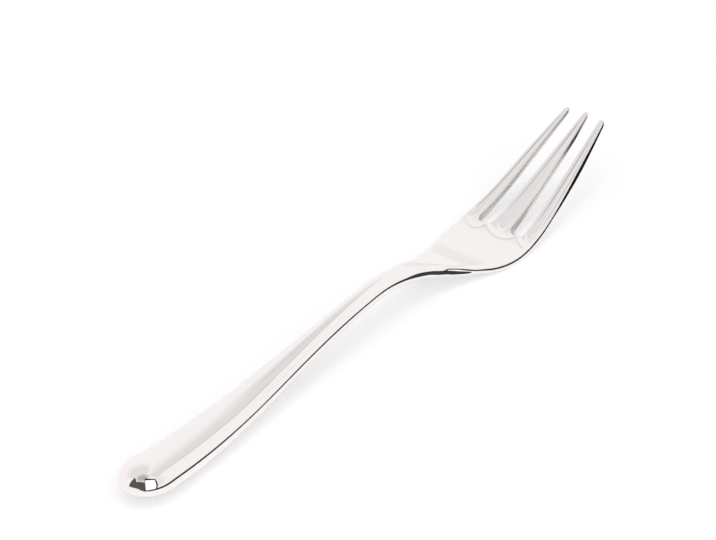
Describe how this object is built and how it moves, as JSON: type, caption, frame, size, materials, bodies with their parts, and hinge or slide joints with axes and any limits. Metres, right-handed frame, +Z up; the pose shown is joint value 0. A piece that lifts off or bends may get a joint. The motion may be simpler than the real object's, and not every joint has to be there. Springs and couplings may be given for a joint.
{
  "type": "fish fork",
  "caption": "Polished steel fish fork with a heavy rounded handle, a slim arched neck, a flat palm and tapering tines that sweep up to their tips.",
  "frame": {"origin": "middle of the fork's outline, on the table that the handle and the heel rest on", "axes": "+Y from the handle end to the tine tips, +Z up, +X to the right seen from above with the tines pointing away"},
  "size_m": [0.023, 0.18, 0.0196],
  "materials": {
    "polished_steel": "mirror polished stainless steel"
  },
  "bodies": {
    "root": {"handle": "polished_steel", "neck": "polished_steel", "palm": "polished_steel", "left_tine": "polished_steel", "middle_tine": "polished_steel", "right_tine": "polished_steel"}
  },
  "joints": []
}
